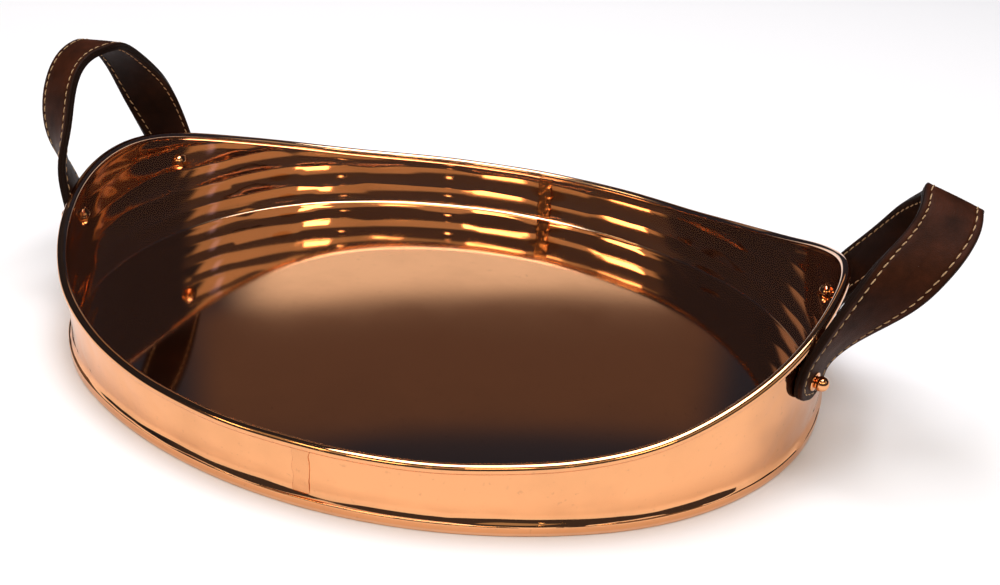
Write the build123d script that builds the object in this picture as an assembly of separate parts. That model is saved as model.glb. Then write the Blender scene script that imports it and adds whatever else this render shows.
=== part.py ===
"""Oval copper tray with high ends, a rolled and wired rim and two leather strap handles.

Millimetres. X runs along the tray from handle to handle, Y across it, +Z up.
The origin is on the underside of the floor, midway between the seams and the ends.
"""
import os
from math import atan2, cos, degrees, radians, sin, sqrt

from build123d import *

# Plan of the tray: an oval of four tangent arcs, measured at the foot.
FOOT_HALF_LENGTH = 230.0
FOOT_HALF_WIDTH = 190.5
END_RADIUS = 175.0
FOOT_HEIGHT = 5.8

# Copper sheet.
SHEET = 1.0
SEAM_GAP = 0.15           # from the middle plane to the edge of each half of the wall
WALL_INSET = 2.8          # from the foot's edge to the middle of the wall sheet
FLANGE_REACH = 1.65       # wall middle to the tip of its out-turned flange
LIP_REACH = 2.0           # how far the floor's folded edge comes back in over the flange
STATIONS = 36             # wall sections in one half of the tray

# Rim line above the floor: low in the middle of each side, high at the ends.
RIM_LOW = 35.6
RIM_RISE_SOFT = {1: 23.5, -1: 21.9}      # right, left: part of the rise that grows with distance cubed
RIM_RISE_SHARP = {1: 29.9, -1: 23.0}     # right, left: part that comes only close to the end
BEAD_RADIUS = 2.7
BEAD_OFFSET = 1.2         # bead centre outside the wall's middle
WIRE_RADIUS = 1.5

# Lap seams in the middle of the two long sides.
LAP_WIDTH = 9.0
LAP_OVERLAP = 2.5
SOLDER_WIDTH = 1.2

# Ball studs and their screws.
STUD_Y = 51.5
STUD_Z = 52.5
BALL_RADIUS = 4.0
COLLAR_RADIUS = 5.2
NECK_RADIUS = 2.3
STUD_LENGTH = 13.0        # wall face to the far side of the ball
SCREW_HEAD_RADIUS = 4.8
SCREW_HEAD_HEIGHT = 2.4
SCREW_RADIUS = 1.6
SCREW_SLOT = 0.9

# Leather straps: two layers sewn together.
STRAP_WIDTH = 31.0
STRAP_SEAT = 0.25         # thickness of air between lining and wall at a stud
LEATHER = 2.35
LAYER_GAP = 0.1
THREAD = 0.6
THREAD_LIFT = 0.15
STITCH_INSET = 3.6
TIP_DROP = 11.0           # stud to the rounded tip
FLAT_RISE = 7.0           # flat length above the stud
LOOP_STEPS = 12           # strap sections from the split to the top of a loop

# Each handle's line rises straight for a little above its stud, then leans out ("lift" is how
# far out and up its curve is first drawn) and bends over to the top of its arch.
HANDLES = {
    "left": {"side": -1, "lift": (17.0, 18.5), "arch_out": 244.8, "arch_height": 145.5,
             "shoulder": 39.0, "tilt": 13.0, "twist": 0.8},
    "right": {"side": 1, "lift": (23.0, 25.0), "arch_out": 274.0, "arch_height": 141.0,
              "shoulder": 24.0, "tilt": 22.0, "twist": 0.75},
}
SPLIT_BELOW = 0.22        # the fixed end stops here along the leg
SPLIT_ABOVE = 0.31        # and the swinging loop starts here

SIDE_CENTRE = ((FOOT_HALF_LENGTH - END_RADIUS) ** 2 + FOOT_HALF_WIDTH ** 2 - END_RADIUS ** 2) / (
    2 * (FOOT_HALF_WIDTH - END_RADIUS))
END_CENTRE = FOOT_HALF_LENGTH - END_RADIUS
SIDE_RADIUS = SIDE_CENTRE
SIDE_DROP = SIDE_RADIUS - FOOT_HALF_WIDTH
JOIN_ANGLE = degrees(atan2(SIDE_DROP, END_CENTRE))


def oval_point(angle, outset):
    """Point and outward direction on the oval where its normal points at this angle."""
    a = radians(angle)
    out = Vector(cos(a), sin(a), 0)
    if abs(sin(a)) < sin(radians(JOIN_ANGLE)):
        centre = Vector(END_CENTRE if out.X > 0 else -END_CENTRE, 0, 0)
        radius = END_RADIUS
    else:
        centre = Vector(0, -SIDE_DROP if out.Y > 0 else SIDE_DROP, 0)
        radius = SIDE_RADIUS
    return centre + out * (radius + outset), out


def oval(outset):
    """Flat oval face, offset outward from the foot's edge."""
    joins = (JOIN_ANGLE, 180 - JOIN_ANGLE, 180 + JOIN_ANGLE, -JOIN_ANGLE)
    corner = [oval_point(angle, outset)[0] for angle in joins]
    middle = [oval_point(angle, outset)[0] for angle in (90, 180, 270, 0)]
    arcs = [ThreePointArc(corner[i], middle[i], corner[(i + 1) % 4]) for i in range(4)]
    return make_face(arcs)


def rim_height(x):
    """Height of the bead's centre above the underside."""
    u = min(abs(x) / FOOT_HALF_LENGTH, 1.0)
    side = 1 if x > 0 else -1
    return RIM_LOW + RIM_RISE_SOFT[side] * u ** 3 + RIM_RISE_SHARP[side] * u ** 7


def ring_points(radius, angles, height):
    """Points round the bead's centre in a wall section (outset, height)."""
    return [(BEAD_OFFSET + radius * cos(radians(a)), height + radius * sin(radians(a))) for a in angles]


def wall_profile(height):
    """Closed outline of the sheet: flange, wall and the edge curled round the wire."""
    half = SHEET / 2
    base = SHEET + 0.3
    hollow = BEAD_RADIUS - SHEET
    points = [(-half, base), (FLANGE_REACH, base), (FLANGE_REACH, base + 0.9), (half, base + 0.9)]
    points += [(half, height - hollow * 0.95)]
    points += ring_points(hollow, (225, 180, 135, 90, 45, 0, -45, -95), height)
    points += ring_points(BEAD_RADIUS, (-95, -45, 0, 45, 90, 135, 180, 231), height)
    return points


def wire_profile(height):
    """Section of the rim's iron wire."""
    return ring_points(WIRE_RADIUS, range(0, 360, 45), height)


def section(profile, angle):
    """A wall section placed on the oval."""
    foot, out = oval_point(angle, -WALL_INSET)
    points = [foot + out * n + Vector(0, 0, z) for n, z in profile(rim_height(foot.X))]
    return Wire.make_polygon(points, close=True)


def half_ring(profile, side, gap):
    """The profile carried round one half of the oval, leaving a gap at both seams."""
    trim = degrees(gap / SIDE_RADIUS)
    step = (180 - 2 * trim) / STATIONS
    start = trim - 90 if side > 0 else trim + 90
    return Solid.make_loft([section(profile, start + i * step) for i in range(STATIONS + 1)], ruled=True)


def lap():
    """Outer leaf of the front lap seam, joggled out over the other half of the wall."""
    face_y = -(FOOT_HALF_WIDTH - WALL_INSET + SHEET / 2)
    bottom = FOOT_HEIGHT + 0.4
    top = RIM_LOW - BEAD_RADIUS - 0.4
    leaf = Box(LAP_WIDTH + LAP_OVERLAP, SHEET, top - bottom, align=(Align.MIN, Align.MAX, Align.MIN))
    root = Box(LAP_OVERLAP - 0.3, SHEET, top - bottom, align=(Align.MIN, Align.MAX, Align.MIN))
    return Pos(-LAP_WIDTH, face_y - 0.2, bottom) * leaf + Pos(0.3, face_y + 0.4, bottom) * root


def seam_solder():
    """Solder fillet along the free edge of the front lap."""
    face_y = -(FOOT_HALF_WIDTH - WALL_INSET + SHEET / 2)
    outline = Polyline((0, 0.05), (-SOLDER_WIDTH, 0.05), (0, SHEET), close=True)
    height = RIM_LOW - BEAD_RADIUS - FOOT_HEIGHT - 1.2
    fillet_bar = extrude(make_face(outline), height)
    return Pos(-LAP_WIDTH - 0.05, face_y - 0.15, FOOT_HEIGHT + 0.6) * mirror(fillet_bar, Plane.XZ)


def stud_frame(side, end):
    """Plane on the wall's outer face at a stud: Z outward, Y up, X along the rim."""
    centre_radius = END_RADIUS - WALL_INSET + SHEET / 2
    angle = degrees(atan2(STUD_Y, sqrt(centre_radius ** 2 - STUD_Y ** 2)))
    angle = angle * end if side > 0 else 180 - angle * end
    point, out = oval_point(angle, -WALL_INSET + SHEET / 2)
    across = Vector(0, 0, 1).cross(out) * -1
    return Plane(origin=point + Vector(0, 0, STUD_Z), x_dir=across, z_dir=out)


def bezier(points, t):
    """Point on the cubic curve with these four control points."""
    weights = ((1 - t) ** 3, 3 * (1 - t) ** 2 * t, 3 * (1 - t) * t * t, t ** 3)
    return sum((p * w for p, w in zip(points, weights)), Vector(0, 0, 0))


def smooth(t):
    """Ramp from 0 to 1 with level ends."""
    return t * t * (3 - 2 * t)


def leg_curve(handle, end):
    """Control points of the strap's middle line, from the stud to the top of the arch."""
    side = handle["side"]
    plane = stud_frame(side, end)
    start = plane.origin + plane.z_dir * (LEATHER + LAYER_GAP / 2 + STRAP_SEAT) + Vector(0, 0, FLAT_RISE)
    out, up = handle["lift"]
    shoulder = Vector(side * handle["arch_out"], end * handle["shoulder"], handle["arch_height"])
    top = Vector(side * handle["arch_out"], 0, handle["arch_height"])
    return [start, start + Vector(side * out, 0, up), shoulder, top]


def leg_frame(handle, end, t):
    """Middle point, width direction and outer face direction of the strap on its leg.

    t runs from 0 at the end of the flat part to 1 at the top of the arch; below the flat
    part's end it is a length in millimetres, negative downward.
    """
    side = handle["side"]
    points = leg_curve(handle, end)
    step = 0.001
    if t < 0:
        middle = points[0] + Vector(0, 0, t)
        along = Vector(0, 0, 1)
    else:
        middle = bezier(points, t)
        along = (bezier(points, min(t + step, 1)) - bezier(points, max(t - step, 0))).normalized()
    tilt = radians(handle["tilt"])
    top_face = Vector(side * sin(tilt), 0, cos(tilt))
    wall_face = stud_frame(side, end).z_dir
    turn = smooth(min(max(t, 0), 1) ** handle["twist"])
    face = wall_face * (1 - turn) + top_face * turn
    face = (face - along * face.dot(along)).normalized()
    width = along.cross(face) * (-end)
    return middle, width, face


def strap_section(frame, low, high, left, right):
    """Rectangle across the strap: thickness from low to high, width from left to right."""
    middle, width, face = frame
    corners = [(left, low), (right, low), (right, high), (left, high)]
    return Wire.make_polygon([middle + width * w + face * n for w, n in corners], close=True)


def ribbon(frames, low, high, edges):
    """A layer or a thread through these frames; edges gives its two sides at each frame."""
    wires = [strap_section(f, low, high, *edge) for f, edge in zip(frames, edges)]
    return Solid.make_loft(wires, ruled=True)


HALF = STRAP_WIDTH / 2
LAYERS = {"outer_leather": (LAYER_GAP / 2, LAYER_GAP / 2 + LEATHER),
          "lining_leather": (-LAYER_GAP / 2 - LEATHER, -LAYER_GAP / 2)}


def end_frames(handle, end):
    """Frames of a strap's fixed end, with half widths that round its tip."""
    rounding = [(0.0, 6.5), (0.6, 9.2), (1.8, 12.0), (4.0, 14.4), (7.0, HALF)]
    frames = [leg_frame(handle, end, drop - TIP_DROP - FLAT_RISE) for drop, _ in rounding]
    widths = [half for _, half in rounding]
    for i in range(5):
        frames.append(leg_frame(handle, end, SPLIT_BELOW * i / 4))
        widths.append(HALF)
    return frames, widths


def loop_frames(handle):
    """Frames of the swinging loop, up the front leg, over the arch and down the back leg."""
    steps = [SPLIT_ABOVE + (1 - SPLIT_ABOVE) * i / LOOP_STEPS for i in range(LOOP_STEPS + 1)]
    front = [leg_frame(handle, -1, t) for t in steps]
    back = [leg_frame(handle, 1, t) for t in reversed(steps[:-1])]
    flipped = [(middle, width * -1, face) for middle, width, face in back]
    return front + flipped


def stitches(frames, half):
    """Four threads: along both edges of both faces."""
    outer = LAYERS["outer_leather"][1] + THREAD_LIFT
    threads = []
    for edge in (-1, 1):
        line = sorted((edge * (half - STITCH_INSET), edge * (half - STITCH_INSET - THREAD)))
        for face in (-1, 1):
            low, high = sorted((face * outer, face * (outer + THREAD * 0.5)))
            threads.append(ribbon(frames, low, high, [line] * len(frames)))
    return Compound(children=threads)


def stud(plane):
    """Ball stud: collar against the leather, neck and ball, bored for the screw."""
    base = 2 * LEATHER + LAYER_GAP + STRAP_SEAT + 0.15
    collar = extrude(Plane.XY.offset(base) * Circle(COLLAR_RADIUS), 1.2)
    neck = extrude(Plane.XY.offset(base + 1.1) * Circle(NECK_RADIUS), STUD_LENGTH - base - 3)
    ball = Pos(0, 0, STUD_LENGTH - BALL_RADIUS) * Sphere(BALL_RADIUS)
    bore = extrude(Plane.XY.offset(base - 1) * Circle(SCREW_RADIUS + 0.05), 5.5)
    return plane.location * (collar + neck + ball - bore)


def screw(plane):
    """Round-headed slotted screw put in from inside the tray."""
    seat = -SHEET - 0.25
    dome_radius = (SCREW_HEAD_RADIUS ** 2 + SCREW_HEAD_HEIGHT ** 2) / (2 * SCREW_HEAD_HEIGHT)
    dome = Pos(0, 0, seat - SCREW_HEAD_HEIGHT + dome_radius) * Sphere(dome_radius)
    keep = Box(20, 20, SCREW_HEAD_HEIGHT, align=(Align.CENTER, Align.CENTER, Align.MAX))
    head = dome & Pos(0, 0, seat) * keep
    slot = Pos(0, 0, seat - SCREW_HEAD_HEIGHT) * Box(12, SCREW_SLOT, 1.8)
    shank = extrude(Plane.XY.offset(seat - 0.5) * Circle(SCREW_RADIUS), 9.5)
    return plane.location * (head - slot + shank)


def drill(plane, radius):
    """Cutter for the hole through wall and leather at a stud."""
    return plane.location * extrude(Plane.XY.offset(-4) * Circle(radius), 14)


def floor_plate():
    """Flat bottom with its edge turned up as the foot band and folded in over the flange."""
    plate = extrude(oval(0), SHEET)
    band = extrude(oval(0) - oval(-SHEET), FOOT_HEIGHT)
    lip = extrude(oval(0) - oval(-LIP_REACH), SHEET)
    return plate + band + Pos(0, 0, FOOT_HEIGHT - SHEET) * lip


def save(name, shape):
    """Write one node."""
    export_step(shape, f"parts/{name}.step")


os.makedirs("parts", exist_ok=True)
frames = {}
for handle_name, handle in HANDLES.items():
    for end_name, end in (("front", -1), ("back", 1)):
        frames[handle_name, end_name] = stud_frame(handle["side"], end)

save("floor_plate", floor_plate())

right_half = half_ring(wall_profile, 1, SEAM_GAP) + lap()
left_half = half_ring(wall_profile, -1, SEAM_GAP) + Rot(0, 0, 180) * lap()
for (handle_name, _), plane in frames.items():
    if handle_name == "right":
        right_half -= drill(plane, SCREW_RADIUS + 0.3)
    else:
        left_half -= drill(plane, SCREW_RADIUS + 0.3)
save("wall_right_half", right_half)
save("wall_left_half", left_half)

save("rim_wire", half_ring(wire_profile, 1, 0) + half_ring(wire_profile, -1, 0))
save("front_seam_solder", seam_solder())
save("back_seam_solder", Rot(0, 0, 180) * seam_solder())

for (handle_name, end_name), plane in frames.items():
    handle = HANDLES[handle_name]
    end = -1 if end_name == "front" else 1
    save(f"{handle_name}_{end_name}_stud", stud(plane))
    save(f"{handle_name}_{end_name}_screw", screw(plane))
    strap, widths = end_frames(handle, end)
    for layer, (low, high) in LAYERS.items():
        sheet = ribbon(strap, low, high, [(-w, w) for w in widths])
        save(f"{handle_name}_{end_name}_end_{layer}", sheet - drill(plane, SCREW_RADIUS + 0.3))
    save(f"{handle_name}_{end_name}_end_stitching", stitches(strap[5:], HALF))

for handle_name, handle in HANDLES.items():
    loop = loop_frames(handle)
    for layer, (low, high) in LAYERS.items():
        save(f"{handle_name}_loop_{layer}", ribbon(loop, low, high, [(-HALF, HALF)] * len(loop)))
    save(f"{handle_name}_loop_stitching", stitches(loop, HALF))
    hinge = (leg_frame(handle, 1, SPLIT_BELOW)[0] + leg_frame(handle, 1, SPLIT_ABOVE)[0]) / 2
    print(handle_name, "handle bends about x", round(hinge.X, 1), "z", round(hinge.Z, 1))
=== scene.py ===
"""Hammered copper tray with a rolled rim and two stitched leather strap handles.

Metres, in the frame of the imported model: X along the tray, Y across it, +Z up.
"""
from math import atan2, cos, pi, radians, sin, sqrt

import bpy
import numpy as np
from mathutils import Matrix, Vector


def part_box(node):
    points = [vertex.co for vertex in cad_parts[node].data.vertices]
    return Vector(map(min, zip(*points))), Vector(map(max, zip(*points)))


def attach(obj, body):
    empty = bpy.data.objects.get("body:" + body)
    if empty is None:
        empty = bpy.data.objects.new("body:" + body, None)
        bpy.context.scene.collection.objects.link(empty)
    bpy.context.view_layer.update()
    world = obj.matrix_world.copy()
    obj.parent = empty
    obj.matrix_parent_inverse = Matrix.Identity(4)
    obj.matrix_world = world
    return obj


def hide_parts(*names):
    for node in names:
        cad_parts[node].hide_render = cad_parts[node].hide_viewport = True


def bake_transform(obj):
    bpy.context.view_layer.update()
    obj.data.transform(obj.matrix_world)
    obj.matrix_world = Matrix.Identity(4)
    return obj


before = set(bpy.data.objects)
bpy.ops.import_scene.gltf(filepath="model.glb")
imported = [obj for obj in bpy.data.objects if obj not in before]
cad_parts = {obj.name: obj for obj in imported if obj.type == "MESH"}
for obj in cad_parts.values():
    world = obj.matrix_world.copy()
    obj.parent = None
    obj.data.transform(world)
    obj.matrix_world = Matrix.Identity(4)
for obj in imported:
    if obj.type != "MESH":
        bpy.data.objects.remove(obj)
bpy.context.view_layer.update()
MM = 0.001


# ---------------------------------------------------------------------------
# Bottom: one flat sheet of copper, polished inside. Its edge is turned up as the foot band
# and folded in over the wall's flange, so a narrow shelf runs round the tray at 6 mm. A solder
# fillet, fullest to the left of the back seam, fills the corner between floor and wall.
# ---------------------------------------------------------------------------
bottom_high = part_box("floor_plate")[1]
HALF_LENGTH = bottom_high.x
HALF_WIDTH = bottom_high.y
FOOT_HEIGHT = bottom_high.z
END_RADIUS = 175 * MM
SHEET = 1.0 * MM
WALL_INSET = 2.8 * MM
FILLET_MIDDLE = -40 * MM
FILLET_SPREAD = 85 * MM

end_centre = HALF_LENGTH - END_RADIUS
side_radius = (end_centre ** 2 + HALF_WIDTH ** 2 - END_RADIUS ** 2) / (2 * (HALF_WIDTH - END_RADIUS))
side_drop = side_radius - HALF_WIDTH
join_angle = atan2(side_drop, end_centre)


def oval(angle, outset):
    """Points on the tray's outline of four tangent arcs, where its normal points at each angle."""
    c = np.cos(angle)
    s = np.sin(angle)
    at_end = np.abs(s) < sin(join_angle)
    centre_x = np.where(at_end, np.sign(c) * end_centre, 0.0)
    centre_y = np.where(at_end, 0.0, -np.sign(s) * side_drop)
    radius = np.where(at_end, END_RADIUS, side_radius) + outset
    return centre_x + radius * c, centre_y + radius * s


def flat_sheet(name, columns, rows):
    """A flat grid to be formed; returns it with each vertex's place across (u) and up (v) it."""
    bpy.ops.object.select_all(action="DESELECT")
    bpy.ops.mesh.primitive_grid_add(x_subdivisions=columns, y_subdivisions=rows, size=1)
    sheet = bpy.context.object
    sheet.name = name
    sheet.data.name = name
    flat = np.empty(len(sheet.data.vertices) * 3)
    sheet.data.vertices.foreach_get("co", flat)
    flat = flat.reshape(-1, 3)
    return sheet, flat[:, 0] + 0.5, flat[:, 1] + 0.5


def form(sheet, x, y, z, weld=0.02 * MM):
    """Bends the flat grid to its new places, welds edges that meet and turns all faces outward."""
    sheet.data.vertices.foreach_set("co", np.stack([x, y, z], 1).ravel())
    sheet.data.update()
    bpy.ops.object.select_all(action="DESELECT")
    sheet.select_set(True)
    bpy.context.view_layer.objects.active = sheet
    bpy.ops.object.mode_set(mode="EDIT")
    bpy.ops.mesh.select_all(action="SELECT")
    bpy.ops.mesh.remove_doubles(threshold=weld)
    bpy.ops.mesh.normals_make_consistent(inside=False)
    bpy.ops.object.mode_set(mode="OBJECT")
    bpy.ops.object.shade_smooth_by_angle(angle=radians(38))


def along(knots, values, where):
    """Values between the knots of a section, by straight lines."""
    return np.interp(where, knots, values)


def waves(x, y, length, seed):
    """Smooth random height between -1 and 1 with about this wavelength."""
    rng = np.random.default_rng(seed)
    total = np.zeros_like(x)
    for _ in range(7):
        heading = rng.uniform(0, 2 * pi)
        size = length * rng.uniform(0.7, 1.6)
        total += np.sin(2 * pi * (x * cos(heading) + y * sin(heading)) / size + rng.uniform(0, 2 * pi))
    return total / 4


# Section of the bottom from its underside's middle, round the foot and back over the floor:
# share of the way in to the middle (0 at the edge), outset from the edge, height.
bottom_section = [
    (1.00, 0.00, 0.00), (0.60, 0.00, 0.00), (0.25, 0.00, 0.00), (0.04, 0.00, 0.00),
    (0.00, -0.90, 0.00), (0.00, -0.35, 0.12), (0.00, -0.08, 0.45), (0.00, 0.00, 0.95),
    (0.00, -0.05, 2.40), (0.00, -0.05, 3.60), (0.00, 0.00, 4.90), (0.00, -0.12, 5.42),
    (0.00, -0.45, 5.74), (0.00, -0.85, 5.80), (0.00, -1.50, 5.74), (0.00, -1.95, 5.55),
    (0.00, -2.15, 5.10), (0.00, -2.05, 4.60), (0.00, -1.20, 4.40), (0.00, -1.20, 1.20),
    (0.00, -3.30, 3.20), (0.00, -3.50, 2.50), (0.00, -4.00, 1.90), (0.00, -4.60, 1.45),
    (0.00, -5.30, 1.12), (0.00, -6.50, 1.00), (0.04, -6.50, 1.00), (0.10, -6.50, 1.00), (0.20, -6.50, 1.00),
    (0.32, -6.50, 1.00), (0.46, -6.50, 1.00), (0.62, -6.50, 1.00), (0.78, -6.50, 1.00),
    (0.90, -6.50, 1.00), (1.00, -6.50, 1.00)]
bottom, u, v = flat_sheet("tray_bottom", 360, len(bottom_section) - 1)
row = v * (len(bottom_section) - 1)
knots = np.arange(len(bottom_section))
inward = along(knots, [p[0] for p in bottom_section], row)
outset = along(knots, [p[1] * MM for p in bottom_section], row)
height = along(knots, [p[2] * MM for p in bottom_section], row)
angle = 2 * pi * u
fillet = (row > 19.5) & (row < 25)
swelling = np.exp(-((oval(angle, 0)[0] - FILLET_MIDDLE) / FILLET_SPREAD) ** 4)
fullness = 0.35 + 0.65 * swelling * (np.sin(angle) > 0)
wall_face = -WALL_INSET - SHEET / 2
outset = np.where(fillet, wall_face + (outset - wall_face) * fullness, outset)
height = np.where(fillet, SHEET + (height - SHEET) * fullness, height)
wobble = 0.22 * MM * waves(np.cos(angle) * 0.2, np.sin(angle) * 0.2, 0.16, 3)
foot_rows = (row > 5) & (row < 17)
outset = outset + np.where(foot_rows, wobble, 0)
x, y = oval(angle, outset)
x = x * (1 - inward)
y = y * (1 - inward)
top_side = row > 24
height = height + np.where(top_side, 0.030 * MM * waves(x, y, 0.13, 5) * np.minimum(inward * 12, 1), 0)
form(bottom, x, y, height)


def linear(hex_colour):
    """Linear RGBA of an sRGB hex colour."""
    parts = [int(hex_colour[i:i + 2], 16) / 255 for i in (1, 3, 5)]
    return [p / 12.92 if p <= 0.04045 else ((p + 0.055) / 1.055) ** 2.4 for p in parts] + [1.0]


def node(tree, kind, inputs=None, stops=None, **settings):
    """Adds a node with its settings; an input given an output socket is linked to it."""
    new = tree.nodes.new(kind)
    for key, value in settings.items():
        setattr(new, key, value)
    for place, colour in (stops or [])[2:]:
        new.color_ramp.elements.new(place)
    for element, (place, colour) in zip(new.color_ramp.elements if stops else [], stops or []):
        element.position = place
        element.color = linear(colour)
    for key, value in (inputs or {}).items():
        if isinstance(value, bpy.types.NodeSocket):
            tree.links.new(value, new.inputs[key])
        else:
            new.inputs[key].default_value = value
    return new


def new_material(name):
    """Empty node material with its output; returns the material, its tree and its output node."""
    material = bpy.data.materials.new(name)
    material.use_nodes = True
    tree = material.node_tree
    tree.nodes.clear()
    return material, tree, node(tree, "ShaderNodeOutputMaterial")


def copper(name, roughness, rough_spread, inside="#F6C6A2", outside="#EDAB77", worn=0.85, scratch=0.02):
    """Polished copper: a warm orange metal, paler where it was buffed inside, a little browner and
    duller in clouds of about 70 mm where it has been handled, with small dark specks and hairline
    scratches from the buffing mop. The scratches are drawn some ten times coarser than real."""
    material, tree, output = new_material(name)
    place = node(tree, "ShaderNodeTexCoord").outputs["Object"]
    clouds = node(tree, "ShaderNodeTexNoise", {"Vector": place, "Scale": 1 / 0.07, "Detail": 4.0,
                                               "Roughness": 0.55})
    side = node(tree, "ShaderNodeAttribute", attribute_name="inner")
    clean = node(tree, "ShaderNodeMix", {0: side.outputs["Fac"], 6: linear(outside), 7: linear(inside)},
                 data_type="RGBA")
    darkening = node(tree, "ShaderNodeMapRange", {0: clouds.outputs["Fac"], 1: 0.34, 2: 0.56,
                                                  3: worn, 4: 1.0})
    specks = node(tree, "ShaderNodeTexNoise", {"Vector": place, "Scale": 1 / 0.0028, "Detail": 2.0})
    fleck = node(tree, "ShaderNodeMapRange", {0: specks.outputs["Fac"], 1: 0.66, 2: 0.80,
                                              3: 1.0, 4: 0.82})
    dim = node(tree, "ShaderNodeMath", {0: darkening.outputs[0], 1: fleck.outputs[0]}, operation="MULTIPLY")
    colour = node(tree, "ShaderNodeVectorMath", {0: clean.outputs[2], 3: dim.outputs[0]}, operation="SCALE")
    dull = node(tree, "ShaderNodeMapRange", {0: clouds.outputs["Fac"], 1: 0.35, 2: 0.65,
                                             3: roughness + rough_spread, 4: roughness})
    stretched = node(tree, "ShaderNodeMapping", {"Vector": place, "Scale": (40.0, 1400.0, 1400.0),
                                                 "Rotation": (0.0, 0.0, 0.5)})
    hairlines = node(tree, "ShaderNodeTexNoise", {"Vector": stretched.outputs[0], "Scale": 1.0,
                                                  "Detail": 2.0})
    bump = node(tree, "ShaderNodeBump", {"Height": hairlines.outputs["Fac"], "Strength": 1.0,
                                         "Distance": scratch * 0.0001})
    surface = node(tree, "ShaderNodeBsdfPrincipled", {
        "Base Color": colour.outputs[0], "Metallic": 1.0, "Roughness": dull.outputs[0],
        "Normal": bump.outputs["Normal"]})
    tree.links.new(surface.outputs[0], output.inputs[0])
    return material


def mark_inner(piece, inner):
    """Stores which vertices lie on the tray's inside."""
    attribute = piece.data.attributes.new("inner", "FLOAT", "POINT")
    attribute.data.foreach_set("value", np.asarray(inner, dtype=np.float32))


def finish_piece(piece, material, slot_name, *replaced, body="tray"):
    """Gives a finished piece its material and fixes it to its body of the frame."""
    piece.data.materials.clear()
    piece.data.materials.append(material)
    if body:
        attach(piece, body)
    if replaced:
        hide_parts(*replaced)


places = np.array([p.co[:] for p in bottom.data.vertices])
mark_inner(bottom, (places[:, 2] > 0.9 * MM) & (places[:, 2] < 2 * MM))
floor_copper = copper("polished_copper_floor", 0.055, 0.02, worn=0.94, scratch=0.010)
finish_piece(bottom, floor_copper, "copper_sheet", "floor_plate")


# ---------------------------------------------------------------------------
# Walls: two halves of 1 mm copper sheet, planished from inside in level rows of long shallow
# hammer marks, with the top edge rolled outward round an iron wire. Brazed to each other in
# the middle of the long sides and caught in the foot's fold below.
# ---------------------------------------------------------------------------
RIM_LOW = 35.6 * MM
RIM_RISE_SOFT = (23.5 * MM, 21.9 * MM)
RIM_RISE_SHARP = (29.9 * MM, 23.0 * MM)
BEAD_RADIUS = 2.7 * MM
BEAD_OFFSET = 1.2 * MM
ROW_PITCH = 15.5 * MM
MARK_LENGTH = 44 * MM
TALLEST = 92 * MM
LIP_START = radians(231)
LIP_TURN = radians(335)
FULL_TURN = 2 * pi


def rim_height(x):
    """Height of the middle of the rolled edge: low at the sides, high at the ends."""
    reach = np.minimum(np.abs(x) / HALF_LENGTH, 1.0)
    soft = np.where(x > 0, RIM_RISE_SOFT[0], RIM_RISE_SOFT[1])
    sharp = np.where(x > 0, RIM_RISE_SHARP[0], RIM_RISE_SHARP[1])
    return RIM_LOW + soft * reach ** 3 + sharp * reach ** 7


turn_table = np.linspace(-pi, pi, 4001)
table_x, table_y = oval(turn_table, -WALL_INSET)
run_table = np.concatenate([[0], np.cumsum(np.hypot(np.diff(table_x), np.diff(table_y)))])


def run_of(angle):
    """Length along the wall, from the left end round by the front."""
    return np.interp((angle + pi) % FULL_TURN - pi, turn_table, run_table)


def hammer_marks(run, height, pitch, length, across, lengthwise, jitter, seed, depth_spread):
    """Depth of the planishing at each point. Each blow leaves a shallow dish with these radii of
    curvature across and along the row; where dishes meet, the outer one wins."""
    rng = np.random.default_rng(seed)
    total = run_table[-1]
    count = int(round(total / length))
    rows = int(np.ceil(TALLEST / pitch)) + 1
    weight = np.zeros_like(run)
    sharpness = 26 / MM
    for level in range(rows):
        drift = rng.uniform(0, 1)
        for i in range(count):
            at_run = (i + drift + rng.uniform(-0.28, 0.28)) * total / count
            wave = sin(at_run / total * 2 * pi * 9 + level * 0.9)
            at_height = (level + 0.5) * pitch + jitter * (0.5 * rng.uniform(-1, 1) + 0.9 * wave)
            reach = (run - at_run + total / 2) % total - total / 2
            near = np.abs(reach) < length * 2.2
            lift = height[near] - at_height
            spread = rng.uniform(0.8, 1.3)
            dish = (depth_spread * rng.uniform(-1, 1)
                    - reach[near] ** 2 / (2 * lengthwise * spread) - lift ** 2 / (2 * across * spread))
            weight[near] += np.exp(sharpness * np.maximum(dish, -0.9 * MM))
    return np.log(np.maximum(weight, 1e-12)) / sharpness


wall_rows_inner = 74
wall_rows_bead = 26
wall_rows_outer = 44
wall_rows = wall_rows_inner + wall_rows_bead + wall_rows_outer + 2


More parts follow.
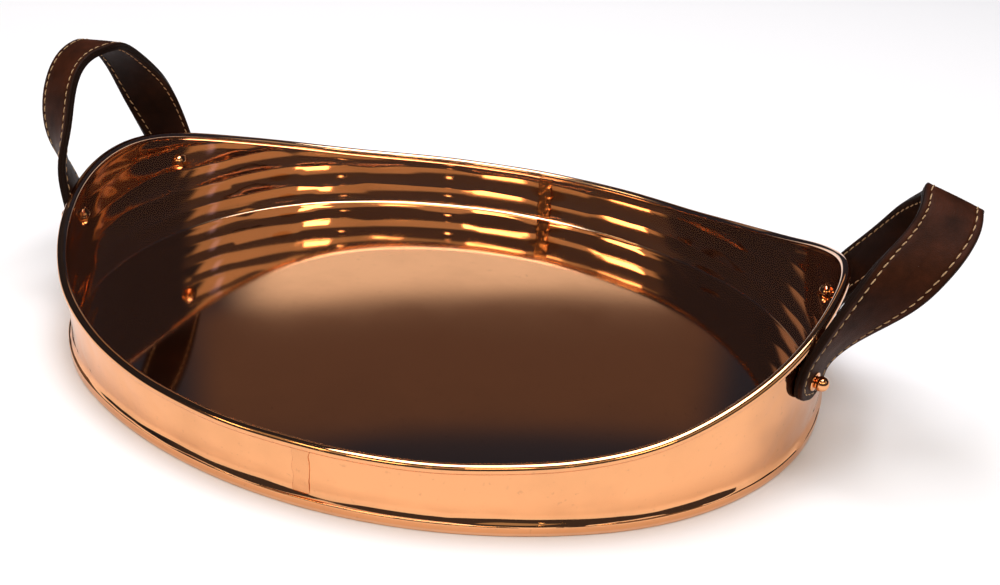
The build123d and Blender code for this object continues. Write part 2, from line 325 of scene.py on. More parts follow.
def wall_half(name, side):
    """One half of the wall, as a closed sheet: inside, rolled edge, outside and bottom edge."""
    half, u, v = flat_sheet(name, 560, wall_rows)
    row = v * wall_rows
    start = -pi / 2 if side > 0 else pi / 2
    angle = start + pi * u
    foot_x, foot_y = oval(angle, -WALL_INSET)
    top = rim_height(foot_x)
    run = run_of(angle)
    inner_share = np.clip(row / wall_rows_inner, 0, 1)
    bead_share = np.clip((row - wall_rows_inner) / wall_rows_bead, 0, 1)
    outer_share = np.clip((row - wall_rows_inner - wall_rows_bead) / wall_rows_outer, 0, 1)
    inside = row <= wall_rows_inner
    on_bead = (row > wall_rows_inner) & (row < wall_rows_inner + wall_rows_bead)
    bead_turn = LIP_START - LIP_TURN * bead_share
    base = SHEET + 0.2 * MM
    inner_top = top + BEAD_RADIUS * sin(LIP_START)
    outer_top = top - BEAD_RADIUS * 0.97
    height = np.where(inside, base + (inner_top - base) * inner_share,
                      outer_top + (base - outer_top) * outer_share)
    height = np.where(on_bead, top + BEAD_RADIUS * np.sin(bead_turn), height)
    marks = hammer_marks(run, height, ROW_PITCH, MARK_LENGTH, 62 * MM, 1500 * MM, 1.5 * MM, 11, 0.05 * MM)
    faint = hammer_marks(run, height, 13 * MM, 24 * MM, 190 * MM, 420 * MM, 3.0 * MM, 23, 0.03 * MM)
    fade = np.clip((top - BEAD_RADIUS - height) / (4 * MM), 0, 1)
    fade = fade * np.clip((height - 2 * MM) / (3 * MM), 0, 1)
    inner_face = -SHEET / 2 + (marks + 0.30 * MM) * fade
    outer_face = SHEET / 2 + (faint + 0.05 * MM) * fade
    rise = np.clip((height - FOOT_HEIGHT) / (5.0 * MM), 0, 1)
    cove = (1.9 + 0.6 * waves(foot_x, foot_y, 0.075, 37)) * MM * (1 - rise) ** 2
    outset = np.where(inside, inner_face, outer_face + cove * (height > FOOT_HEIGHT - 1.2 * MM))
    outset = np.where(on_bead, BEAD_OFFSET + BEAD_RADIUS * np.cos(bead_turn), outset)
    sway = 0.28 * MM * waves(foot_x, foot_y, 0.062, 31) * np.clip((height - 2 * MM) / (6 * MM), 0.1, 1)
    x, y = oval(angle, outset - WALL_INSET + sway)
    uneven = 0.3 * MM * waves(foot_x, foot_y, 0.07, 41)
    form(half, x, y, height + np.where(on_bead | (height > top - 6 * MM), uneven, 0))
    places = np.array([p.co[:] for p in half.data.vertices])
    at_end = np.abs(places[:, 0]) > end_centre + END_RADIUS * cos(join_angle)
    reach = np.hypot(places[:, 0] - np.sign(places[:, 0]) * end_centre, places[:, 1]) - END_RADIUS
    broad = np.hypot(places[:, 0], places[:, 1] + np.sign(places[:, 1]) * side_drop) - side_radius
    mark_inner(half, np.where(at_end, reach, broad) < -WALL_INSET)
    return half


wall_copper = copper("hammered_copper_wall", 0.05, 0.04, worn=0.86, scratch=0.012)
right_wall = wall_half("wall_right", 1)
finish_piece(right_wall, wall_copper, "copper_sheet", "wall_right_half")
left_wall = wall_half("wall_left", -1)
finish_piece(left_wall, wall_copper, "copper_sheet", "wall_left_half")


# ---------------------------------------------------------------------------
# Rim wire: soft iron wire inside the rolled edge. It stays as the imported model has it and
# only shows if the roll is opened. Drawn iron: dull grey, with a faint mottle from the die.
# ---------------------------------------------------------------------------
iron, tree, output = new_material("drawn_iron_wire")
place = node(tree, "ShaderNodeTexCoord").outputs["Object"]
mill = node(tree, "ShaderNodeTexNoise", {"Vector": place, "Scale": 1 / 0.002, "Detail": 3.0})
shade = node(tree, "ShaderNodeValToRGB", {0: mill.outputs["Fac"]}, [(0.3, "#4A4744"), (0.7, "#7C7872")])
surface = node(tree, "ShaderNodeBsdfPrincipled", {"Base Color": shade.outputs["Color"], "Metallic": 1.0,
                                                  "Roughness": 0.42})
tree.links.new(surface.outputs[0], output.inputs[0])
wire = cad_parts["rim_wire"]
wire.data.materials.clear()
wire.data.materials.append(iron)


# ---------------------------------------------------------------------------
# Seams: the two halves lap by 9 mm in the middle of each long side and are brazed. The free
# edge of each leaf, filed by hand, shows as a ragged step outside and inside.
# ---------------------------------------------------------------------------
LAP_WIDTH = 9 * MM


def lap_seam(name, side, replaced):
    """Both visible leaves of one lap: the outer one left of the middle plane, the inner one right."""
    leaves = []
    for face in (1, -1):
        leaf, u, v = flat_sheet(name + ("_out" if face > 0 else "_in"), 40, 90)
        low = FOOT_HEIGHT + 0.6 * MM if face > 0 else SHEET + 1.0 * MM
        high = RIM_LOW - BEAD_RADIUS * (1.0 if face > 0 else 0.6)
        height = low + (high - low) * v
        ragged = 0.75 * MM * waves(height, 3 * u.round(), 0.011, 51 + face)
        ragged = ragged + 0.25 * MM * waves(height, height * 0, 0.0035, 61 + face)
        across = (u - 0.5) * 2
        edge = np.clip((1 - np.abs(across)) * 9, 0, 1)
        ends = np.clip(np.minimum(v, 1 - v) * 14, 0, 1)
        lumps = (0.10 if face > 0 else 0.22) * MM
        thick = (0.10 * MM + 0.50 * MM * edge ** 0.5) * ends ** 0.5
        thick = thick + lumps * waves(across * 0.006, height, 0.011, 71 + face) * edge
        offset = -0.5 * LAP_WIDTH + across * 0.5 * LAP_WIDTH + ragged * np.abs(across)
        x = offset * face * side
        surface_out = SHEET / 2 * face - WALL_INSET
        angle = side * pi / 2 - side * x / (side_radius - WALL_INSET)
        px, py = oval(angle, surface_out + face * (thick - 0.12 * MM))
        form(leaf, px, py, height)
        leaves.append(leaf)
    bpy.ops.object.select_all(action="DESELECT")
    for leaf in leaves:
        leaf.select_set(True)
        bpy.context.view_layer.objects.active = leaf
        solid = leaf.modifiers.new("thickness", "SOLIDIFY")
        solid.thickness = 0.5 * MM
        solid.offset = -1
        bpy.ops.object.modifier_apply(modifier=solid.name)
    bpy.context.view_layer.objects.active = leaves[0]
    bpy.ops.object.join()
    leaves[0].name = name
    mark_inner(leaves[0], np.zeros(len(leaves[0].data.vertices)))
    finish_piece(leaves[0], seam_copper, "solder", replaced)


seam_copper = copper("filed_brazed_seam", 0.09, 0.06, inside="#F0BE98", outside="#E8A673",
                     worn=0.9, scratch=0.05)
lap_seam("front_seam", -1, "front_seam_solder")
lap_seam("back_seam", 1, "back_seam_solder")


# ---------------------------------------------------------------------------
# Studs: turned copper ball studs that hold the straps to the wall, one at each strap end.
# Each is a collar on the leather, a short neck and a ball, screwed on from inside.
# ---------------------------------------------------------------------------
STUD_Y = 51.5 * MM
STUD_Z = 52.5 * MM
LEATHER = 2.35 * MM
LAYER_GAP = 0.1 * MM
STRAP_SEAT = 0.25 * MM
BALL_RADIUS = 4.0 * MM
STUD_LENGTH = 13.0 * MM


def stud_place(side, end):
    """Matrix of a stud: origin on the wall's outer face, Z outward, Y up."""
    radius = END_RADIUS - WALL_INSET + SHEET / 2
    swing = atan2(STUD_Y, sqrt(radius ** 2 - STUD_Y ** 2)) * end
    out = Vector((side * cos(swing), sin(swing), 0))
    up = Vector((0, 0, 1))
    origin = Vector((side * end_centre, 0, STUD_Z)) + out * radius
    return Matrix.Translation(origin) @ Matrix((up.cross(out), up, out)).transposed().to_4x4()


def turned(name, rings, segments=48):
    """A piece turned on a lathe about Z, ring by ring from (radius, height) pairs."""
    bpy.ops.object.select_all(action="DESELECT")
    bpy.ops.mesh.primitive_circle_add(vertices=segments, radius=rings[0][0], location=(0, 0, rings[0][1]),
                                      fill_type="NGON")
    piece = bpy.context.object
    piece.name = name
    bpy.ops.object.transform_apply(location=True, rotation=True, scale=True)
    bpy.ops.object.mode_set(mode="EDIT")
    bpy.ops.mesh.select_all(action="SELECT")
    for (radius, height), (last_radius, last_height) in zip(rings[1:], rings[:-1]):
        bpy.ops.mesh.extrude_region_move(TRANSFORM_OT_translate={"value": (0, 0, height - last_height)})
        scale = radius / last_radius
        bpy.ops.transform.resize(value=(scale, scale, 1), center_override=(0, 0, height))
    bpy.ops.mesh.select_all(action="SELECT")
    bpy.ops.mesh.remove_doubles(threshold=1e-6)
    bpy.ops.mesh.normals_make_consistent(inside=False)
    bpy.ops.object.mode_set(mode="OBJECT")
    bpy.ops.object.shade_smooth_by_angle(angle=radians(35))
    return piece


collar = 2 * LEATHER + LAYER_GAP + STRAP_SEAT + 0.1 * MM
ball_middle = STUD_LENGTH - BALL_RADIUS
stud_rings = [(4.6 * MM, collar), (5.1 * MM, collar + 0.15 * MM), (5.2 * MM, collar + 0.45 * MM),
              (5.0 * MM, collar + 0.9 * MM), (4.3 * MM, collar + 1.2 * MM), (3.0 * MM, collar + 1.35 * MM),
              (2.4 * MM, collar + 1.6 * MM)]
for step in range(4, 37):
    tilt = pi * step / 37
    ring = (BALL_RADIUS * sin(tilt), ball_middle - BALL_RADIUS * cos(tilt))
    if ring[1] > collar + 1.75 * MM and (step < 18 and ring[0] > 2.4 * MM or step >= 18):
        stud_rings.append(ring)
stud_model = turned("stud_model", stud_rings)
stud_copper = copper("turned_copper_stud", 0.07, 0.04, scratch=0.01)
STRAP_ENDS = [(handle, side, end_name, end) for handle, side in (("left", -1), ("right", 1))
              for end_name, end in (("front", -1), ("back", 1))]
for handle, side, end_name, end in STRAP_ENDS:
    piece = bpy.data.objects.new(f"{handle}_{end_name}_ball_stud", stud_model.data.copy())
    bpy.context.scene.collection.objects.link(piece)
    piece.data.transform(stud_place(side, end))
    finish_piece(piece, stud_copper, "copper_fittings", f"{handle}_{end_name}_stud")
bpy.data.objects.remove(stud_model)


# ---------------------------------------------------------------------------
# Screws: round-headed copper screws put in from inside the tray, each over a thin washer.
# Only the slotted heads show, each at its own angle; the shanks are in the studs.
# ---------------------------------------------------------------------------
HEAD_RADIUS = 4.8 * MM
HEAD_HEIGHT = 2.9 * MM
head_seat = -SHEET - 0.1 * MM
dome_radius = (HEAD_RADIUS ** 2 + HEAD_HEIGHT ** 2) / (2 * HEAD_HEIGHT)
WASHER = 0.9 * MM
HEAD_EDGE = 0.2 * MM
head_rings = [(1.6 * MM, 6.0 * MM), (1.6 * MM, head_seat), (5.5 * MM, head_seat),
              (5.8 * MM, head_seat - 0.2 * MM), (5.7 * MM, head_seat - 0.7 * MM),
              (5.3 * MM, head_seat - WASHER), (4.6 * MM, head_seat - WASHER),
              (HEAD_RADIUS, head_seat - WASHER - HEAD_EDGE)]
head_seat = head_seat - WASHER
for step in range(1, 13):
    tilt = atan2(HEAD_RADIUS, dome_radius - HEAD_HEIGHT) * (1 - step / 12.5)
    sunk = dome_radius * (1 - cos(tilt))
    head_rings.append((dome_radius * sin(tilt), head_seat - HEAD_EDGE - (HEAD_HEIGHT - sunk)))
screw_model = turned("screw_model", head_rings, 64)
bpy.ops.mesh.primitive_cube_add(size=1, location=(0, 0, head_seat - HEAD_HEIGHT))
slot_cutter = bpy.context.object
slot_cutter.scale = (14 * MM, 1.0 * MM, 2.0 * MM)
cut = screw_model.modifiers.new("slot", "BOOLEAN")
cut.operation = "DIFFERENCE"
cut.object = slot_cutter
bpy.context.view_layer.update()
bpy.context.view_layer.objects.active = screw_model
bpy.ops.object.modifier_apply(modifier=cut.name)
bpy.data.objects.remove(slot_cutter)
for (handle, side, end_name, end), turn in zip(STRAP_ENDS, (35, -20, 70, 10)):
    piece = bpy.data.objects.new(f"{handle}_{end_name}_screw_head", screw_model.data.copy())
    bpy.context.scene.collection.objects.link(piece)
    piece.data.transform(stud_place(side, end) @ Matrix.Rotation(radians(turn), 4, "Z"))
    finish_piece(piece, stud_copper, "copper_fittings", f"{handle}_{end_name}_screw")
bpy.data.objects.remove(screw_model)


# ---------------------------------------------------------------------------
# Straps: two layers of dark brown bridle leather, 31 mm wide, with burnished edges and a
# creased groove in which they are saddle-stitched. Each strap is one piece from stud to stud.
# ---------------------------------------------------------------------------
STRAP_HALF = 15.5 * MM
TIP_DROP = 11 * MM
FLAT_RISE = 7 * MM
TIP_CORNER = 12.5 * MM
STITCH_INSET = 3.6 * MM
# Each leg: how far it first runs out and up from the stud, the pull of its shoulder (out, along,
# height), where its face starts and ends turning, its extra roll, and its lean from upright.
HANDLES = {
    "left": {"side": -1, "top": (240.6, 4.0, 143.2), "tilt": 3.0,
             "front": {"out": 11.5, "up": 31.6, "shoulder": (254.7, 30.7, 142.4), "turn": (-0.30, 0.67),
                       "roll": 0.58, "lean": 7.0},
             "back": {"out": 13.0, "up": 28.0, "shoulder": (243.0, 31.0, 142.0), "turn": (-0.30, 0.95),
                      "roll": 0.05, "lean": 2.0}},
    "right": {"side": 1, "top": (270.8, 2.8, 140.6), "tilt": 10.0,
              "front": {"out": 9.8, "up": 33.0, "shoulder": (279.0, 33.5, 128.6), "turn": (-0.06, 1.06),
                        "roll": 0.36, "lean": 21.0},
              "back": {"out": 12.0, "up": 30.0, "shoulder": (283.0, 33.0, 130.5), "turn": (-0.08, 1.06),
                       "roll": 0.18, "lean": 20.0}}}


def soften(values, reach=36):
    """Rounds off the kinks where straight and curved stretches of a line meet."""
    kernel = np.hanning(2 * reach + 1)
    kernel = kernel / kernel.sum()
    padded = np.concatenate([2 * values[:1] - values[reach:0:-1], values,
                             2 * values[-1:] - values[-2:-reach - 2:-1]])
    return np.stack([np.convolve(padded[:, i], kernel, "valid") for i in range(3)], 1)


def strap_line(handle):
    """The strap's middle line and the direction of its outer face, tip to tip, at even steps."""
    side = handle["side"]
    legs = []
    for end, leg in ((-1, handle["front"]), (1, handle["back"])):
        matrix = stud_place(side, end)
        out = np.array(matrix.col[2][:3])
        lean = radians(leg["lean"])
        up = np.array([0, 0, cos(lean)]) - np.array(matrix.col[0][:3]) * end * side * sin(lean)
        start = np.array(matrix.translation) + out * (LEATHER + LAYER_GAP / 2 + STRAP_SEAT) + up * FLAT_RISE
        lift = start + out * leg["out"] * MM + up * leg["up"] * MM
        shoulder = np.array([side * leg["shoulder"][0], end * leg["shoulder"][1], leg["shoulder"][2]]) * MM
        top = np.array([side * handle["top"][0], handle["top"][1], handle["top"][2]]) * MM
        t = np.linspace(0, 1, 400)[:, None]
        curve = ((1 - t) ** 3 * start + 3 * (1 - t) ** 2 * t * lift
                 + 3 * (1 - t) * t * t * shoulder + t ** 3 * top)
        straight = start + np.linspace(-TIP_DROP - FLAT_RISE, 0, 60)[:-1, None] * up
        points = np.concatenate([straight, curve])
        heading = np.gradient(points, axis=0) * -end
        heading = heading / np.linalg.norm(heading, axis=1, keepdims=True)
        turn = np.clip((t[:, 0] - leg["turn"][0]) / (leg["turn"][1] - leg["turn"][0]), 0, 1)
        turn = np.concatenate([np.zeros(59), turn * turn * (3 - 2 * turn)])[:, None]
        tilt = radians(handle["tilt"])
        crown = np.array([side * sin(tilt), 0, cos(tilt)])
        face = out[None] * (1 - turn) + crown[None] * turn
        face = face - (face * heading).sum(1, keepdims=True) * heading
        face = face / np.linalg.norm(face, axis=1, keepdims=True)
        roll = np.concatenate([np.zeros(59), leg["roll"] * end * np.sin(pi * t[:, 0]) ** 2])[:, None]
        face = face * np.cos(roll) + np.cross(heading, face) * np.sin(roll)
        legs.append((points, face))
    line = np.concatenate([legs[0][0], legs[1][0][::-1][1:]])
    face = np.concatenate([legs[0][1], legs[1][1][::-1][1:]])
    run = np.concatenate([[0], np.cumsum(np.linalg.norm(np.diff(line, axis=0), axis=1))])
    even = np.arange(0, run[-1], 0.25 * MM)
    line = np.stack([np.interp(even, run, line[:, i]) for i in range(3)], 1)
    face = np.stack([np.interp(even, run, face[:, i]) for i in range(3)], 1)
    line = soften(line)
    face = soften(face)
    tangent = np.gradient(line, axis=0)
    tangent = tangent / np.linalg.norm(tangent, axis=1, keepdims=True)
    face = face - (face * tangent).sum(1, keepdims=True) * tangent
    face = face / np.linalg.norm(face, axis=1, keepdims=True)
    width = np.cross(tangent, face)
    run = np.concatenate([[0], np.cumsum(np.linalg.norm(np.diff(line, axis=0), axis=1))])
    return {"run": run, "line": line, "face": face, "width": width, "length": run[-1]}


def outline(length, inset, share):
    """Point on the strap's outline, inset all round, as (along, across); share runs 0 to 1 round it."""
    corner = np.maximum(TIP_CORNER - inset, 0.01 * MM)
    half = STRAP_HALF - inset
    low = inset
    straight = length - 2 * inset - 2 * corner
    cap = 2 * (half - corner)
    edge_arc = TIP_CORNER * pi / 2
    reference = [length - 2 * TIP_CORNER, edge_arc, 2 * (STRAP_HALF - TIP_CORNER), edge_arc]
    reference = np.cumsum([0] + reference * 2)
    reference = reference / reference[-1]
    stage = np.clip(np.searchsorted(reference, share, side="right") - 1, 0, 7)
    part = (share - reference[stage]) / (reference[stage + 1] - reference[stage])
    turn = part * pi / 2
    s0 = low + corner
    s1 = length - low - corner
    w0 = half - corner
    still = 0 * part
    swing = corner * np.sin(turn)
    rest = corner * np.cos(turn)
    choices_s = [s0 + straight * part, s1 + swing, s1 + corner + still, s1 + rest,
                 s1 - straight * part, s0 - swing, s0 - corner + still, s0 - rest]
    choices_w = [-half + still, -w0 - rest, -w0 + cap * part, w0 + swing,
                 half + still, w0 + rest, w0 - cap * part, -w0 - swing]
    return np.choose(stage, choices_s), np.choose(stage, choices_w)


def on_strap(strap, s, w, n):
    """Places points given along, across and out from the strap's middle line."""
    at = [np.stack([np.interp(s, strap["run"], strap[key][:, i]) for i in range(3)], 1)
          for key in ("line", "width", "face")]
    return at[0] + at[1] * w[:, None] + at[2] * n[:, None]


# Half of a layer's section, from its edge in: inset, and how far the face sinks there.
face_section = [(0.0, 0.95), (0.12, 0.55), (0.4, 0.2), (0.8, 0.05), (1.4, 0.0), (2.4, 0.0), (3.0, 0.04),
                (3.3, 0.26), (3.6, 0.36), (3.9, 0.26), (4.2, 0.03), (5.2, -0.07), (7.5, -0.16),
                (11.0, -0.22), (15.48, -0.25)]


def leather_layer(name, strap, outward):
    """One layer of a strap; the outer layer faces outward (1), the lining inward (-1)."""
    section = [(i, LEATHER * 0.98, d) for i, d in face_section]
    section = [(15.48, 0, 0), (8.0, 0, 0), (1.0, 0, 0), (0.15, 0, 0), (0.0, 0.3 * MM, 0),
               (-0.06, 0.9 * MM, 0)] + section
    layer, u, v = flat_sheet(name, 900, len(section) - 1)
    row = v * (len(section) - 1)
    knots = np.arange(len(section))
    inset = along(knots, [p[0] * MM for p in section], row)
    up = along(knots, [p[1] for p in section], row)
    sink = along(knots, [p[2] * MM for p in section], row)
    s, w = outline(strap["length"], inset, u)
    pucker = 0.05 * MM * np.sin(2 * pi * s / (5 * MM)) * np.exp(-((inset - STITCH_INSET) / (1.2 * MM)) ** 2)
    out = LAYER_GAP / 2 * 0.2 + up - (sink + pucker) * (up > 1.0 * MM)
    swell = 0.12 * MM * waves(s, w, 0.05, 81) * np.clip(inset / (3 * MM), 0, 1)
    places = on_strap(strap, s, w, outward * (out + swell * (up > 1.0 * MM)))
    form(layer, places[:, 0], places[:, 1], places[:, 2])
    return layer


def edge_mask(layer, strap):
    """Stores on each vertex how near it is to the strap's edge, for the burnish."""
    places = np.empty(len(layer.data.vertices) * 3)
    layer.data.vertices.foreach_get("co", places)
    places = places.reshape(-1, 3)
    step = strap["line"][::4]
    nearest = ((places[:, None, :] - step[None]) ** 2).sum(2).argmin(1) * 4
    offset = places - strap["line"][nearest]
    across = np.abs((offset * strap["width"][nearest]).sum(1))
    lengthwise = np.minimum(strap["run"][nearest], strap["length"] - strap["run"][nearest])
    edge = np.clip(1 - np.minimum(STRAP_HALF - across, lengthwise) / (3.0 * MM), 0, 1)
    attribute = layer.data.attributes.new("edge", "FLOAT", "POINT")
    attribute.data.foreach_set("value", edge.astype(np.float32))


def bridle_leather(name, light, mid, dark):
    """Oiled bridle leather: dark brown in soft clouds, fine even grain, slightly glossy, with
    near-black burnished edges. Grain and pores are drawn about three times coarser than real."""
    material, tree, output = new_material(name)
    place = node(tree, "ShaderNodeTexCoord").outputs["Object"]
    clouds = node(tree, "ShaderNodeTexNoise", {"Vector": place, "Scale": 1 / 0.018, "Detail": 5.0,
                                               "Roughness": 0.6})
    hide = node(tree, "ShaderNodeValToRGB", {0: clouds.outputs["Fac"]},
                [(0.30, dark), (0.52, mid), (0.75, light)])
    edge = node(tree, "ShaderNodeAttribute", attribute_name="edge")
    burnish = node(tree, "ShaderNodeMapRange", {0: edge.outputs["Fac"], 1: 0.35, 2: 1.0, 3: 0.0, 4: 0.92})
    colour = node(tree, "ShaderNodeMix", {0: burnish.outputs[0], 6: hide.outputs["Color"],
                                          7: linear("#1A0F0A")}, data_type="RGBA")
    grain = node(tree, "ShaderNodeTexVoronoi", {"Vector": place, "Scale": 1 / 0.0011, "Randomness": 1.0},
                 feature="DISTANCE_TO_EDGE")
    pores = node(tree, "ShaderNodeTexNoise", {"Vector": place, "Scale": 1 / 0.0006, "Detail": 3.0})
    crease = node(tree, "ShaderNodeMapRange", {0: grain.outputs["Distance"], 1: 0.0, 2: 0.18,
                                               3: 0.0, 4: 1.0})
    relief = node(tree, "ShaderNodeMath", {0: pores.outputs["Fac"], 1: 0.7, 2: crease.outputs[0]},
                  operation="MULTIPLY_ADD")
    bump = node(tree, "ShaderNodeBump", {"Height": relief.outputs[0], "Strength": 0.55,
                                         "Distance": 0.12 * MM})
    gloss = node(tree, "ShaderNodeMapRange", {0: clouds.outputs["Fac"], 1: 0.3, 2: 0.7, 3: 0.56, 4: 0.42})
    surface = node(tree, "ShaderNodeBsdfPrincipled", {
        "Base Color": colour.outputs[2], "Roughness": gloss.outputs[0], "Normal": bump.outputs["Normal"],
        "Specular IOR Level": 0.07, "Sheen Weight": 0.0})
    tree.links.new(surface.outputs[0], output.inputs[0])
    return material


outer_leather = bridle_leather("oiled_bridle_leather", "#4A2414", "#371A0C", "#251107")
lining_leather = bridle_leather("bridle_leather_lining", "#30180D", "#22110A", "#180B06")
straps = {}
for name, handle in HANDLES.items():
    strap = strap_line(handle)
    straps[name] = strap
    for layer_name, outward, leather in (("outer", 1, outer_leather), ("lining", -1, lining_leather)):
        layer = leather_layer(f"{name}_strap_{layer_name}", strap, outward)
        edge_mask(layer, strap)
        stands_for = [f"{name}_loop_{layer_name}_leather"]
        stands_for += [f"{name}_{end}_end_{layer_name}_leather" for end in ("front", "back")]
        finish_piece(layer, leather, "leather", *stands_for, body=None)
        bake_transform(layer)


# ---------------------------------------------------------------------------
# Stitching: waxed linen thread, saddle-stitched at about 5 mm through both layers, in the groove
# along both edges and round the rounded tips, and seen on both faces. Waxed linen is a matt
# pale tan, with its twist showing as a slight roughness.
# ---------------------------------------------------------------------------
STITCH_PITCH = 4.9 * MM
STITCH_LENGTH = 3.7 * MM
THREAD_RADIUS = 0.36 * MM

thread, tree, output = new_material("waxed_linen_thread")
place = node(tree, "ShaderNodeTexCoord").outputs["Object"]
fibres = node(tree, "ShaderNodeTexNoise", {"Vector": place, "Scale": 1 / 0.0009, "Detail": 3.0})
shade = node(tree, "ShaderNodeValToRGB", {0: fibres.outputs["Fac"]},
             [(0.3, "#8E6A45"), (0.6, "#C9A577"), (0.8, "#DCC097")])
bump = node(tree, "ShaderNodeBump", {"Height": fibres.outputs["Fac"], "Strength": 0.6, "Distance": 0.0001})
surface = node(tree, "ShaderNodeBsdfPrincipled", {"Base Color": shade.outputs["Color"], "Roughness": 0.6,
                                                  "Normal": bump.outputs["Normal"], "Sheen Weight": 0.2})
tree.links.new(surface.outputs[0], output.inputs[0])

bpy.ops.object.select_all(action="DESELECT")
bpy.ops.mesh.primitive_uv_sphere_add(segments=8, ring_count=6, radius=1)
stitch_model = bpy.context.object
stitch_points = np.array([p.co[:] for p in stitch_model.data.vertices])
stitch_faces = [list(p.vertices) for p in stitch_model.data.polygons]
bpy.data.objects.remove(stitch_model)
stitch_points[:, 2] = np.sign(stitch_points[:, 2]) * np.abs(stitch_points[:, 2]) ** 0.6

for name, strap in straps.items():
    share = np.linspace(0, 1, 6001)
    s, w = outline(strap["length"], np.full_like(share, STITCH_INSET), share)
    walked = np.concatenate([[0], np.cumsum(np.hypot(np.diff(s), np.diff(w)))])
    count = int(round(walked[-1] / STITCH_PITCH))
    centres = (np.arange(count) + 0.5) * walked[-1] / count
    rng = np.random.default_rng(91)
    places = []
    faces = []
    for outward in (1, -1):
        sits = outward * (LEATHER + LAYER_GAP / 2 - 0.30 * MM + THREAD_RADIUS * 0.55)
        for middle in centres:
            slant = rng.normal(0.10, 0.03)
            length = STITCH_LENGTH * rng.uniform(0.94, 1.04)
            along_stitch = middle + stitch_points[:, 2] * length / 2
            base_s = np.interp(along_stitch, walked, s, period=walked[-1])
            base_w = np.interp(along_stitch, walked, w, period=walked[-1])
            step = 0.2 * MM
            ds = np.interp(along_stitch + step, walked, s, period=walked[-1]) - base_s
            dw = np.interp(along_stitch + step, walked, w, period=walked[-1]) - base_w
            norm = np.maximum(np.hypot(ds, dw), 1e-9)
            side_shift = stitch_points[:, 0] * THREAD_RADIUS + slant * stitch_points[:, 2] * length / 2
            sag = -outward * 0.28 * MM * np.abs(stitch_points[:, 2]) ** 3
            point_s = base_s - dw / norm * side_shift
            point_w = base_w + ds / norm * side_shift
            out = sits + stitch_points[:, 1] * THREAD_RADIUS + sag
            first = sum(len(p) for p in places)
            places.append(on_strap(strap, point_s, point_w, out))
            faces += [[first + i for i in face] for face in stitch_faces]
    mesh = bpy.data.meshes.new(f"{name}_stitching")
    mesh.from_pydata(np.concatenate(places).tolist(), [], faces)
    mesh.update()
    stitching = bpy.data.objects.new(f"{name}_stitching", mesh)
    bpy.context.scene.collection.objects.link(stitching)
    bpy.ops.object.select_all(action="DESELECT")
    stitching.select_set(True)
    bpy.context.view_layer.objects.active = stitching
    bpy.ops.object.mode_set(mode="EDIT")
    bpy.ops.mesh.select_all(action="SELECT")
    bpy.ops.mesh.normals_make_consistent(inside=False)
    bpy.ops.object.mode_set(mode="OBJECT")
    bpy.ops.object.shade_smooth()
    stands_for = [f"{name}_loop_stitching"] + [f"{name}_{end}_end_stitching" for end in ("front", "back")]
    finish_piece(stitching, thread, "thread", *stands_for, body=None)
    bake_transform(stitching)


# ---------------------------------------------------------------------------
# Stage: a pale plain floor of matt white paper, a dim room with a lighter far wall, and soft
# studio lights: one large softbox overhead and a row of small warm lamps in front.
# ---------------------------------------------------------------------------
bpy.ops.object.select_all(action="DESELECT")
bpy.ops.mesh.primitive_plane_add(size=9)
ground = bpy.context.object
ground.name = "pale_floor"
paper, tree, output = new_material("pale_plain_paper")
surface = node(tree, "ShaderNodeBsdfPrincipled", {"Base Color": linear("#FBFBFC"), "Roughness": 0.9,
                                                  "Specular IOR Level": 0.1})
tree.links.new(surface.outputs[0], output.inputs[0])
ground.data.materials.append(paper)

world = bpy.data.worlds.new("dim_room")
bpy.context.scene.world = world
world.use_nodes = True
tree = world.node_tree
tree.nodes.clear()
heading = node(tree, "ShaderNodeTexCoord").outputs["Generated"]
axes = node(tree, "ShaderNodeSeparateXYZ", {0: heading})
bearing = node(tree, "ShaderNodeMath", {0: axes.outputs["Y"], 1: axes.outputs["X"]}, operation="ARCTAN2")
slope = node(tree, "ShaderNodeMath", {0: axes.outputs["X"], 1: 0.065, 2: axes.outputs["Z"]},
             operation="MULTIPLY_ADD")
ZONES = [
    # bearings from and to, softness, height from and to, softness (as sine), colour
    (-145, 18, 3, 0.47, 0.80, 0.012, (0.42, 0.36, 0.24)),
    (-145, 18, 3, -0.50, 0.47, 0.012, (0.035, 0.028, 0.022)),
    (96, 125, 1.5, 0.4440, 0.545, 0.012, (0.078, 0.033, 0.001)),
    (98, 122, 2, 0.36, 0.4440, 0.011, (0.83, 0.66, 0.49)),
    (3, 7, 1.5, 0.42, 0.60, 0.04, (0.16, 0.20, 0.46)),
    (134, 154, 3, 0.42, 0.60, 0.03, (0.26, 0.22, 0.18))]
room = node(tree, "ShaderNodeCombineXYZ", {0: 0.022, 1: 0.026, 2: 0.042})
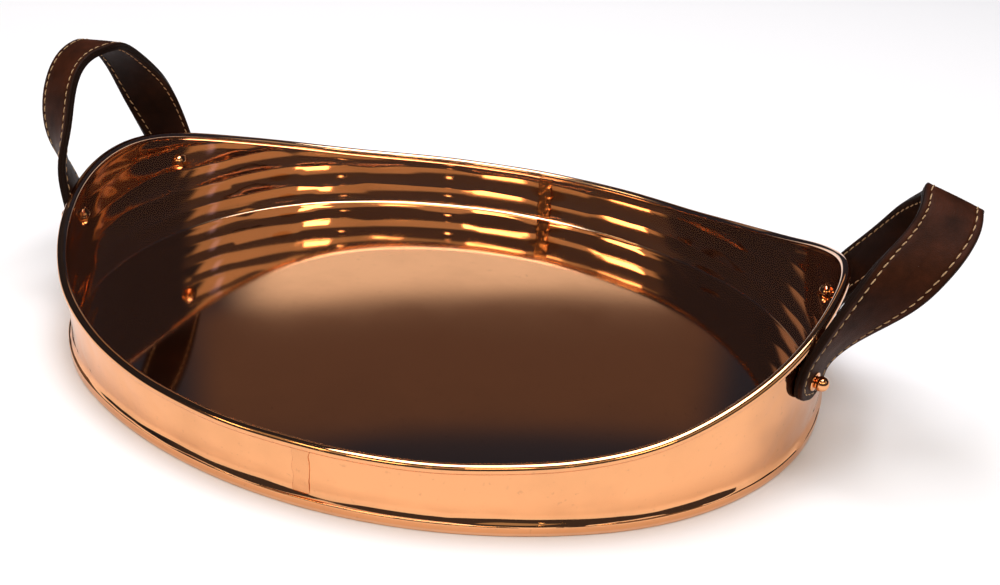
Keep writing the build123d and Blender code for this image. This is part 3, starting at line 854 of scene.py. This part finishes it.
for low, high, soft, bottom_edge, top_edge, edge_soft, tone in ZONES:
    shares = []
    for value, none, full in ((bearing, radians(low - soft), radians(low + soft)),
                              (bearing, radians(high + soft), radians(high - soft)),
                              (slope, bottom_edge - edge_soft, bottom_edge + edge_soft),
                              (slope, top_edge + edge_soft, top_edge - edge_soft)):
        shares.append(node(tree, "ShaderNodeMapRange", {0: value.outputs[0], 1: none, 2: full},
                           interpolation_type="SMOOTHSTEP"))
    share = shares[0]
    for other in shares[1:]:
        share = node(tree, "ShaderNodeMath", {0: share.outputs[0], 1: other.outputs[0]},
                     operation="MULTIPLY")
    lit = node(tree, "ShaderNodeVectorMath", {0: tone, 3: share.outputs[0]}, operation="SCALE")
    room = node(tree, "ShaderNodeVectorMath", {0: room.outputs[0], 1: lit.outputs[0]})
sky = node(tree, "ShaderNodeBackground", {"Color": room.outputs[0], "Strength": 1.0})
output = node(tree, "ShaderNodeOutputWorld", {0: sky.outputs[0]})


def area_light(name, place, target, size, power, colour):
    """Soft rectangular light aimed at a point."""
    data = bpy.data.lights.new(name, "AREA")
    data.shape = "RECTANGLE"
    data.size = size[0]
    data.size_y = size[1]
    data.energy = power
    data.color = linear(colour)[:3]
    light = bpy.data.objects.new(name, data)
    bpy.context.scene.collection.objects.link(light)
    light.location = place
    light.rotation_euler = (Vector(target) - Vector(place)).to_track_quat("-Z", "Y").to_euler()
    return light


LAMP_REACH = 2.8
area_light("overhead_softbox", (0.0, 0.1, 3.2), (0, 0, 0), (2.2, 2.2), 116, "#F9FAFF")
for name, bearing_at, rise, width, tall, power in (
        ("lamp_a", -42, 37, 0.52, 0.36, 4.1), ("lamp_b", -71, 42, 0.42, 0.30, 2.8),
        ("lamp_c", -97, 36, 0.46, 0.34, 3.4), ("lamp_d", -117, 42, 0.36, 0.34, 2.7),
        ("lamp_e", -134, 35, 0.44, 0.30, 2.9), ("lamp_f", -84, 24, 0.07, 0.08, 0.12),
        ("lamp_g", -56, 21, 0.07, 0.07, 0.11), ("lamp_h", -108, 22, 0.08, 0.07, 0.12)):
    across = radians(bearing_at)
    lift_at = radians(rise)
    spot = LAMP_REACH * Vector((cos(lift_at) * cos(across), cos(lift_at) * sin(across), sin(lift_at)))
    area_light(name, spot, (0, 0, 0), (width, tall), power, "#FFDFAE")

camera_data = bpy.data.cameras.new("camera")
camera_data.lens = 42.09
camera_data.sensor_width = 36
camera = bpy.data.objects.new("camera", camera_data)
bpy.context.scene.collection.objects.link(camera)
camera.location = (0.2319, -0.5886, 0.3582)
camera.rotation_euler = (1.08894, -0.05626, 0.35041)
camera_data.clip_start = 0.01
bpy.context.scene.camera = camera
bpy.context.scene.view_settings.view_transform = "Standard"
